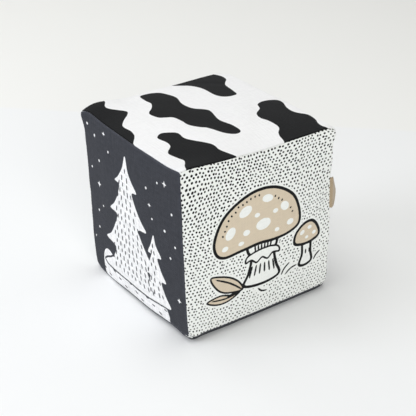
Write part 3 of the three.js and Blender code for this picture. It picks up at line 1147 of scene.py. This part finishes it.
def blend(tree, share, first, second):
    """The colour between two colours, each a socket or a linear colour."""
    values = [c if isinstance(c, bpy.types.NodeSocket) else (*c, 1) for c in (first, second)]
    return add(tree, "ShaderNodeMix", {0: share, 6: values[0], 7: values[1]}, data_type="RGBA").outputs[2]


def inside(tree, value, edge, soft):
    """1 where a value is below an edge and 0 where it is above, over a soft border."""
    ends = {"Value": value, "From Min": edge + soft, "From Max": edge - soft, "To Min": 0.0, "To Max": 1.0}
    return add(tree, "ShaderNodeMapRange", ends).outputs[0]


def cloth_place(tree, scale):
    """The place on the flat cloth, in steps of one over scale metres."""
    flat = add(tree, "ShaderNodeUVMap", uv_map="cloth").outputs[0]
    return add(tree, "ShaderNodeVectorMath", {0: flat, "Scale": scale}, operation="SCALE").outputs[0]


def canvas_relief(tree):
    """Height of a plain weave: yarns over and under each other, with thicker yarns here and there.

    The real yarns lie about 0.4 mm apart, which is too fine to show in the render, so they are drawn as
    coarse as they need to be to show, at the yarn spacing among the sizes.
    """
    yarn = sizes().yarn
    parts = add(tree, "ShaderNodeSeparateXYZ", {0: cloth_place(tree, 2 * math.pi / yarn)})
    across = add(tree, "ShaderNodeMath", {0: parts.outputs[0]}, operation="SINE").outputs[0]
    along = add(tree, "ShaderNodeMath", {0: parts.outputs[1]}, operation="SINE").outputs[0]
    weave = add(tree, "ShaderNodeMath", {0: across, 1: along}, operation="MULTIPLY").outputs[0]
    slubs = []
    for stretch in ((1, SLUB_YARNS, 1), (SLUB_YARNS, 1, 1)):
        place = cloth_place(tree, 1 / (SLUB_YARNS * yarn))
        place = add(tree, "ShaderNodeVectorMath", {0: place, 1: stretch}, operation="MULTIPLY").outputs[0]
        noise = add(tree, "ShaderNodeTexNoise", {"Vector": place, "Scale": 1.0, "Detail": 2.0})
        slubs.append(noise.outputs[0])
    slub = add(tree, "ShaderNodeMath", {0: slubs[0], 1: slubs[1]}, operation="ADD").outputs[0]
    height = add(tree, "ShaderNodeMath", {0: slub, 1: 1.6, 2: weave}, operation="MULTIPLY_ADD").outputs[0]
    return height, slub


def finish_canvas(tree, colour_socket, sheen, unevenness=0.03):
    """Cotton canvas from its printed colour: matt, with a soft sheen of loose fibres.

    unevenness is how much darker or paler single yarns and worn spots are than the rest.
    """
    height, slub = canvas_relief(tree)
    worn = add(tree, "ShaderNodeTexNoise", {"Vector": cloth_place(tree, 1 / WORN_SPOT), "Scale": 1.0,
                                            "Detail": 4.0, "Roughness": 0.65}).outputs[0]
    both = add(tree, "ShaderNodeMath", {0: worn, 1: 1.6, 2: slub}, operation="MULTIPLY_ADD").outputs[0]
    tone = add(tree, "ShaderNodeMapRange", {"Value": both, "From Min": 1.4, "From Max": 2.2,
                                            "To Min": 1 - unevenness, "To Max": 1 + unevenness}).outputs[0]
    shade = add(tree, "ShaderNodeVectorMath", {0: colour_socket, "Scale": tone}, operation="SCALE")
    bump = add(tree, "ShaderNodeBump", {"Height": height, "Strength": 0.55, "Distance": WEAVE_DEPTH})
    shader = add(tree, "ShaderNodeBsdfPrincipled", {
        "Base Color": shade.outputs[0], "Normal": bump.outputs[0], "Roughness": 0.9,
        "Specular IOR Level": 0.12, "Sheen Weight": sheen, "Sheen Roughness": 0.5,
    })
    add(tree, "ShaderNodeOutputMaterial", {"Surface": shader.outputs[0]})


def stored(tree, name):
    """A value that the mesh holds at each vertex."""
    return add(tree, "ShaderNodeAttribute", attribute_name=name).outputs["Fac"]


def ink_share(tree, name):
    """1 on an ink and 0 beside it. Its edge is slightly uneven where the ink soaked along the yarns."""
    place = cloth_place(tree, 1 / SOAKED_SPOT)
    noise = add(tree, "ShaderNodeTexNoise", {"Vector": place, "Scale": 1.0, "Detail": 3.0}).outputs[0]
    shift = add(tree, "ShaderNodeMath", {0: noise, 1: 0.5}, operation="SUBTRACT").outputs[0]
    soaked = add(tree, "ShaderNodeMath", {0: shift, 1: SOAKED_REACH, 2: stored(tree, name)},
                 operation="MULTIPLY_ADD").outputs[0]
    return inside(tree, soaked, 0.0, INK_SOFTNESS)


def seam_tone_and_highlight(tree, base, factor, amount, reach):
    """A colour that turns slightly darker or paler beside the seams. Paler, on the charcoal, it is a painted
    highlight where light catches the seams' rolls; darker, on the white grounds, it is a plain darkening.

    amount is how much of the change there is at the seam, and reach how far it goes in millimetres.
    """
    near = inside(tree, stored(tree, "seam_inset"), reach / 2, reach / 2)
    share = add(tree, "ShaderNodeMath", {0: near, 1: amount}, operation="MULTIPLY").outputs[0]
    return blend(tree, share, base, times(base, factor))


def sheared(tree, vector, row_x, row_y):
    """A flat place turned into other axes, each a row of shares of the first ones."""
    x = add(tree, "ShaderNodeVectorMath", {0: vector, 1: row_x}, operation="DOT_PRODUCT").outputs["Value"]
    y = add(tree, "ShaderNodeVectorMath", {0: vector, 1: row_y}, operation="DOT_PRODUCT").outputs["Value"]
    return add(tree, "ShaderNodeCombineXYZ", {0: x, 1: y}).outputs[0]


def drawn_dots(tree):
    """1 on the small hand-drawn dots of the front print and 0 between them."""
    s = sizes()
    place = cloth_place(tree, 1 / s.dot_pitch)
    noise = add(tree, "ShaderNodeTexNoise", {"Vector": place, "Scale": DOT_BEND_SCALE, "Detail": 0.0})
    shift = add(tree, "ShaderNodeVectorMath", {0: noise.outputs["Color"], 1: (0.5, 0.5, 0.5)},
                operation="SUBTRACT").outputs[0]
    bent = add(tree, "ShaderNodeVectorMath", {0: shift, 1: (DOT_BEND, DOT_BEND, 0.0), 2: place},
               operation="MULTIPLY_ADD").outputs[0]
    # Rows of a triangle grid, sheared to squares and back
    lean = 1 / math.sqrt(3)
    rows = sheared(tree, bent, (1, -lean, 0), (0, 2 * lean, 0))
    cells = add(tree, "ShaderNodeTexVoronoi", {"Vector": rows, "Scale": 1.0, "Randomness": DOT_LOOSENESS},
                voronoi_dimensions="2D")
    middle = sheared(tree, cells.outputs["Position"], (1, 0.5, 0), (0, 1 / (2 * lean), 0))
    away = add(tree, "ShaderNodeVectorMath", {0: bent, 1: middle}, operation="DISTANCE").outputs["Value"]
    chance = add(tree, "ShaderNodeSeparateColor", {0: cells.outputs["Color"]})
    least, most = (share * s.dot / s.dot_pitch for share in DOT_RADIUS)
    radius = add(tree, "ShaderNodeMapRange", {"Value": chance.outputs[0], "To Min": least, "To Max": most})
    height = add(tree, "ShaderNodeVectorMath", {0: cloth_place(tree, 1.0), 1: DOT_PRESS_WAY},
                 operation="DOT_PRODUCT").outputs["Value"]
    press = add(tree, "ShaderNodeMapRange", {
        "Value": height, "From Min": -DOT_PRESS_HALF, "From Max": DOT_PRESS_HALF,
        "To Min": DOT_PRESS[0], "To Max": DOT_PRESS[1],
    })
    pressed = add(tree, "ShaderNodeMath", {0: radius.outputs[0], 1: press.outputs[0]},
                  operation="MULTIPLY").outputs[0]
    gap = add(tree, "ShaderNodeMath", {0: away, 1: pressed}, operation="SUBTRACT").outputs[0]
    return inside(tree, gap, 0.0, 0.02)


def dotted_canvas():
    """Plain-weave cotton, screen printed: off-white ground, dark dots, and a tan and dark print.

    The dots read as a fine even grain from a step away, and the print as flat matt ink.
    """
    c = colours()
    material, tree = start_material("dotted_canvas_screen_printed")
    dots = drawn_dots(tree)
    clear = inside(tree, stored(tree, "clear"), 0.4, 0.4)
    outside = add(tree, "ShaderNodeMath", {0: 1.0, 1: clear}, operation="SUBTRACT").outputs[0]
    dots = add(tree, "ShaderNodeMath", {0: dots, 1: outside}, operation="MULTIPLY").outputs[0]
    inked = blend(tree, dots, seam_tone_and_highlight(tree, c.off_white, 0.93, 0.6, 2.5), c.black)
    inked = blend(tree, ink_share(tree, "tan_ink"), inked, c.tan)
    inked = blend(tree, ink_share(tree, "dark_ink"), inked, c.black)
    finish_canvas(tree, inked, 0.06)
    return material


def charcoal_canvas():
    """Plain-weave cotton, screen printed all over in charcoal, with the stars and trees left white.

    The charcoal is dull and a little blue, with a painted highlight that makes it paler along the seams'
    rolls.
    """
    c = colours()
    material, tree = start_material("charcoal_canvas_screen_printed")
    # Painted highlight: the charcoal is made paler along the seams, where light catches their rolls.
    ground = seam_tone_and_highlight(tree, c.charcoal, 2.1, 0.7, 1.7)
    inked = blend(tree, ink_share(tree, "white_ink"), ground, c.white_ink)
    finish_canvas(tree, inked, 0.05, 0.16)
    return material


def patched_canvas():
    """Plain-weave cotton, screen printed: bleached white ground with black hide-like patches.

    The white is clean and slightly cool, and the black is dense and matt.
    """
    c = colours()
    material, tree = start_material("patched_canvas_screen_printed")
    ground = seam_tone_and_highlight(tree, c.white, 0.95, 0.5, 2.0)
    inked = blend(tree, ink_share(tree, "dark_ink"), ground, c.black)
    finish_canvas(tree, inked, 0.03, 0.025)
    return material


def unprinted_canvas():
    """The canvas's wrong side, unprinted: the same weave in plain off-white, with faint broad clouds."""
    base = colours().off_white
    material, tree = start_material("unprinted_canvas_wrong_side")
    tint = add(tree, "ShaderNodeTexNoise", {"Vector": cloth_place(tree, 1 / (6 * MM)), "Scale": 1.0})
    finish_canvas(tree, blend(tree, tint.outputs[0], base, times(base, 0.9)), 0.1)
    return material


def cut_foam():
    """Open-cell polyether foam, sawn: cream, dull and finely pitted by the cut cells.

    Real cells are finer than these, which are as coarse as they need to be to show.
    """
    base = colours().foam
    material, tree = start_material("polyether_foam_cut")
    place = add(tree, "ShaderNodeTexCoord").outputs["Object"]
    cells = add(tree, "ShaderNodeTexVoronoi", {"Vector": place, "Scale": 1 / FOAM_CELL}).outputs["Distance"]
    tone = add(tree, "ShaderNodeTexNoise", {"Vector": place, "Scale": 1 / FOAM_PATCH}).outputs[0]
    shade = blend(tree, tone, base, times(base, 0.88))
    bump = add(tree, "ShaderNodeBump", {"Height": cells, "Strength": 0.8, "Distance": FOAM_PIT}).outputs[0]
    shader = add(tree, "ShaderNodeBsdfPrincipled", {
        "Base Color": shade, "Normal": bump, "Roughness": 1.0, "Specular IOR Level": 0.2,
    })
    add(tree, "ShaderNodeOutputMaterial", {"Surface": shader.outputs[0]})
    return material


def spun_thread(name, base):
    """Spun polyester thread: a two-ply twist with a slight sheen.

    The twist is drawn several times longer than the real one, which is too fine to show.
    """
    material, tree = start_material(name)
    place = add(tree, "ShaderNodeTexCoord").outputs["Object"]
    twist = add(tree, "ShaderNodeTexWave", {"Vector": place, "Scale": 1 / PLY_TWIST, "Distortion": 1.5},
                bands_direction="DIAGONAL").outputs["Fac"]
    shade = blend(tree, twist, base, times(base, 0.82))
    bump = add(tree, "ShaderNodeBump", {"Height": twist, "Strength": 0.5, "Distance": PLY_DEPTH}).outputs[0]
    shader = add(tree, "ShaderNodeBsdfPrincipled", {
        "Base Color": shade, "Normal": bump, "Roughness": 0.65, "Sheen Weight": 0.2,
    })
    add(tree, "ShaderNodeOutputMaterial", {"Surface": shader.outputs[0]})
    return material


def twill_tape():
    """Undyed cotton twill tape, woven in herringbone: warm beige, with fine slanted ribs.

    Real ribs lie about 0.7 mm apart. They are drawn a bit coarser, so that they show.
    """
    base = colours().tape
    material, tree = start_material("cotton_twill_tape_undyed")
    parts = add(tree, "ShaderNodeSeparateXYZ", {0: cloth_place(tree, 1 / TWILL_RIB)})
    row = add(tree, "ShaderNodeMath", {0: parts.outputs[1], 1: TWILL_ROW}, operation="PINGPONG").outputs[0]
    slant = add(tree, "ShaderNodeMath", {0: parts.outputs[0], 1: row}, operation="ADD").outputs[0]
    turn = add(tree, "ShaderNodeMath", {0: slant, 1: 2 * math.pi}, operation="MULTIPLY").outputs[0]
    ribs = add(tree, "ShaderNodeMath", {0: turn}, operation="SINE").outputs[0]
    depth = add(tree, "ShaderNodeMapRange", {"Value": ribs, "From Min": -1.0, "From Max": 1.0}).outputs[0]
    fibre = add(tree, "ShaderNodeTexNoise", {"Vector": cloth_place(tree, 1 / TWILL_FIBRE), "Scale": 1.0})
    share = add(tree, "ShaderNodeMath", {0: depth, 1: fibre.outputs[0]}, operation="MULTIPLY").outputs[0]
    # Painted shade and highlight: the ribs' grooves are darker and their tops paler, mixed with a random
    # tone from the loose fibres.
    shade = blend(tree, share, times(base, 0.78), times(base, 1.12))
    bump = add(tree, "ShaderNodeBump", {"Height": depth, "Strength": 0.6, "Distance": TWILL_DEPTH})
    shader = add(tree, "ShaderNodeBsdfPrincipled", {
        "Base Color": shade, "Normal": bump.outputs[0], "Roughness": 0.85, "Specular IOR Level": 0.3,
        "Sheen Weight": 0.25, "Sheen Roughness": 0.45,
    })
    add(tree, "ShaderNodeOutputMaterial", {"Surface": shader.outputs[0]})
    return material


# Stage: camera, lamps, floor and background

# The photograph's camera: its angles, its distance from a point in the block's middle, how far to the right
# and up of that point it aims, and its lens and sensor in millimetres
VIEW_AZIMUTH = math.radians(-33.25)
VIEW_ELEVATION = math.radians(28.82)
VIEW_ROLL = math.radians(-1.75)
VIEW_DISTANCE = 0.5995
VIEW_AIM = (0.0004, -0.0049)
VIEW_MIDDLE_HEIGHT = 0.0530
LENS = 88.17
SENSOR = 36.0

# Soft lamps: name, place, size, power and colour
COOL = (0.88, 0.91, 1.0)
WARM = (1.0, 1.0, 0.965)
LAMPS = (
    ("window_lamp", (-0.93, 0.41, 0.59), 0.7, 4.55, COOL),
    ("top_lamp", (-0.10, 0.15, 1.30), 1.1, 6.0, WARM),
    ("front_lamp", (-0.45, -1.10, 0.55), 0.9, 7.0, WARM),
    ("back_lamp", (0.00, 0.90, 0.80), 0.9, 2.0, WARM),
)
LAMP_AIM = (0, 0, 0.05)
ROOM_LIGHT = 0.40
BACKDROP = 0xF0F0F0

# The floor's white paper: its half size, its colours at the block and behind it, and the line between them,
# by its direction in plan, its distance from the origin and how soft it is
FLOOR_HALF = 3.0
NEAR_PAPER = 0xEFF0F2
FAR_PAPER = 0xF0F0EF
PAPER_EDGE_NORMAL = (0.714, 0.700, 0.0)
PAPER_EDGE = 0.2312
PAPER_EDGE_SOFTNESS = 3 * MM


def view_axes():
    """The photograph's right, up and back directions."""
    back = Vector((math.sin(VIEW_AZIMUTH) * math.cos(VIEW_ELEVATION),
                   -math.cos(VIEW_AZIMUTH) * math.cos(VIEW_ELEVATION), math.sin(VIEW_ELEVATION)))
    level = Vector((math.cos(VIEW_AZIMUTH), math.sin(VIEW_AZIMUTH), 0))
    above = back.cross(level)
    right = math.cos(VIEW_ROLL) * level + math.sin(VIEW_ROLL) * above
    up = -math.sin(VIEW_ROLL) * level + math.cos(VIEW_ROLL) * above
    return right, up, back


def make_camera():
    """The camera at the photograph's viewing angle."""
    right, up, back = view_axes()
    data = bpy.data.cameras.new("studio_camera")
    data.sensor_width = SENSOR
    data.lens = LENS
    data.clip_start = 0.01
    data.clip_end = 20
    camera = bpy.data.objects.new("studio_camera", data)
    bpy.context.scene.collection.objects.link(camera)
    place = Vector((0, 0, VIEW_MIDDLE_HEIGHT)) + right * VIEW_AIM[0] + up * VIEW_AIM[1]
    place += back * VIEW_DISTANCE
    axes = Matrix((right, up, back)).transposed()
    camera.matrix_world = Matrix.Translation(place) @ axes.to_4x4()
    bpy.context.scene.camera = camera


def make_lamp(name, place, size, power, tint):
    """A round soft lamp that points at the block."""
    data = bpy.data.lights.new(name, "AREA")
    data.shape = "DISK"
    data.size = size
    data.energy = power
    data.color = tint
    lamp = bpy.data.objects.new(name, data)
    bpy.context.scene.collection.objects.link(lamp)
    lamp.location = place
    lamp.rotation_mode = "QUATERNION"
    lamp.rotation_quaternion = (Vector(place) - Vector(LAMP_AIM)).to_track_quat("Z", "Y")


def make_world():
    """A plain pale backdrop where the camera sees past the floor, and even room light for the rest."""
    world = bpy.data.worlds.new("pale_room")
    bpy.context.scene.world = world
    world.use_nodes = True
    tree = world.node_tree
    tree.nodes.clear()
    path = add(tree, "ShaderNodeLightPath")
    seen = add(tree, "ShaderNodeMath", {0: path.outputs["Is Camera Ray"], 1: path.outputs["Is Glossy Ray"]},
               operation="ADD").outputs[0]
    seen = add(tree, "ShaderNodeMath", {0: seen, 1: path.outputs["Is Transmission Ray"]}, operation="ADD",
               use_clamp=True).outputs[0]
    room = add(tree, "ShaderNodeBackground", {"Color": (*WARM, 1), "Strength": ROOM_LIGHT}).outputs[0]
    backdrop = add(tree, "ShaderNodeBackground", {"Color": (*linear(BACKDROP), 1), "Strength": 1.0})
    both = add(tree, "ShaderNodeMixShader", {0: seen, 1: room, 2: backdrop.outputs[0]}).outputs[0]
    add(tree, "ShaderNodeOutputWorld", {"Surface": both})


def studio_paper():
    """Matt white paper for the floor, a shade warmer behind the block."""
    material, tree = start_material("studio_paper_matt")
    place = add(tree, "ShaderNodeTexCoord").outputs["Object"]
    level = add(tree, "ShaderNodeVectorMath", {0: place, 1: PAPER_EDGE_NORMAL}, operation="DOT_PRODUCT")
    far = add(tree, "ShaderNodeMapRange", {
        "Value": level.outputs["Value"],
        "From Min": PAPER_EDGE - PAPER_EDGE_SOFTNESS,
        "From Max": PAPER_EDGE + PAPER_EDGE_SOFTNESS,
    }, interpolation_type="SMOOTHSTEP").outputs[0]
    shade = blend(tree, far, linear(NEAR_PAPER), linear(FAR_PAPER))
    shader = add(tree, "ShaderNodeBsdfPrincipled", {
        "Base Color": shade, "Roughness": 1.0, "Specular IOR Level": 0.0,
    })
    add(tree, "ShaderNodeOutputMaterial", {"Surface": shader.outputs[0]})
    return material


def make_floor():
    """The paper that the block stands on."""
    bm = bmesh.new()
    bmesh.ops.create_grid(bm, x_segments=8, y_segments=8, size=FLOOR_HALF)
    floor = new_object("paper_floor", mesh_from(bm, "paper_floor"), [studio_paper()])


def make_stage():
    bpy.context.scene.view_settings.view_transform = "Standard"
    make_camera()
    make_world()
    for lamp in LAMPS:
        make_lamp(*lamp)
    make_floor()


# Operators, one for each group of pieces

class MakePanels(bpy.types.Operator):
    """Makes the six printed panels of the cover"""
    bl_idname = "fabric_block.panels"
    bl_label = "Panels"

    def execute(self, context):
        finishes = {"dotted_canvas": dotted_canvas(), "charcoal_canvas": charcoal_canvas(),
                    "patched_canvas": patched_canvas()}
        wrong_side = unprinted_canvas()
        for name in SIDES:
            make_panel(name, finishes, wrong_side)
        return {"FINISHED"}


class MakeCore(bpy.types.Operator):
    """Makes the foam core that fills the cover"""
    bl_idname = "fabric_block.core"
    bl_label = "Foam core"

    def execute(self, context):
        make_core(cut_foam())
        return {"FINISHED"}


class MakeStitches(bpy.types.Operator):
    """Makes the machine stitches of the seams and the hand stitches that close the cover"""
    bl_idname = "fabric_block.stitches"
    bl_label = "Stitches"

    def execute(self, context):
        make_threads(spun_thread("spun_polyester_thread", colours().thread))
        make_closing(spun_thread("spun_polyester_thread_dark", colours().dark_thread))
        return {"FINISHED"}


class MakeTab(bpy.types.Operator):
    """Makes the folded tape tab and its sewn-in ends"""
    bl_idname = "fabric_block.tab"
    bl_label = "Tape tab"

    def execute(self, context):
        material = twill_tape()
        make_tab_root(material)
        make_tab_loop(material)
        return {"FINISHED"}


class MakeStage(bpy.types.Operator):
    """Makes the camera, the lamps, the floor and the background"""
    bl_idname = "fabric_block.stage"
    bl_label = "Stage"

    def execute(self, context):
        make_stage()
        return {"FINISHED"}


class FabricBlockPanel(bpy.types.Panel):
    bl_idname = "VIEW3D_PT_fabric_block"
    bl_label = "Fabric Block"
    bl_space_type = "VIEW_3D"
    bl_region_type = "UI"
    bl_category = "Fabric Block"

    def draw(self, context):
        for group in (context.scene.fabric_block_sizes, context.scene.fabric_block_colours):
            column = self.layout.column(align=True)
            for name in group.bl_rna.properties.keys():
                if name not in ("rna_type", "name"):
                    column.prop(group, name)
        for operator in STEPS:
            self.layout.operator(operator.bl_idname)


STEPS = (MakeStage, MakePanels, MakeCore, MakeStitches, MakeTab)
CLASSES = (FabricBlockSizes, FabricBlockColours, *STEPS, FabricBlockPanel)


def register():
    for item in CLASSES:
        bpy.utils.register_class(item)
    bpy.types.Scene.fabric_block_sizes = PointerProperty(type=FabricBlockSizes)
    bpy.types.Scene.fabric_block_colours = PointerProperty(type=FabricBlockColours)


def unregister():
    del bpy.types.Scene.fabric_block_colours
    del bpy.types.Scene.fabric_block_sizes
    for item in reversed(CLASSES):
        bpy.utils.unregister_class(item)


def main():
    register()
    bpy.ops.fabric_block.stage()
    bpy.ops.fabric_block.panels()
    bpy.ops.fabric_block.core()
    bpy.ops.fabric_block.stitches()
    bpy.ops.fabric_block.tab()


if __name__ == "__main__":
    main()
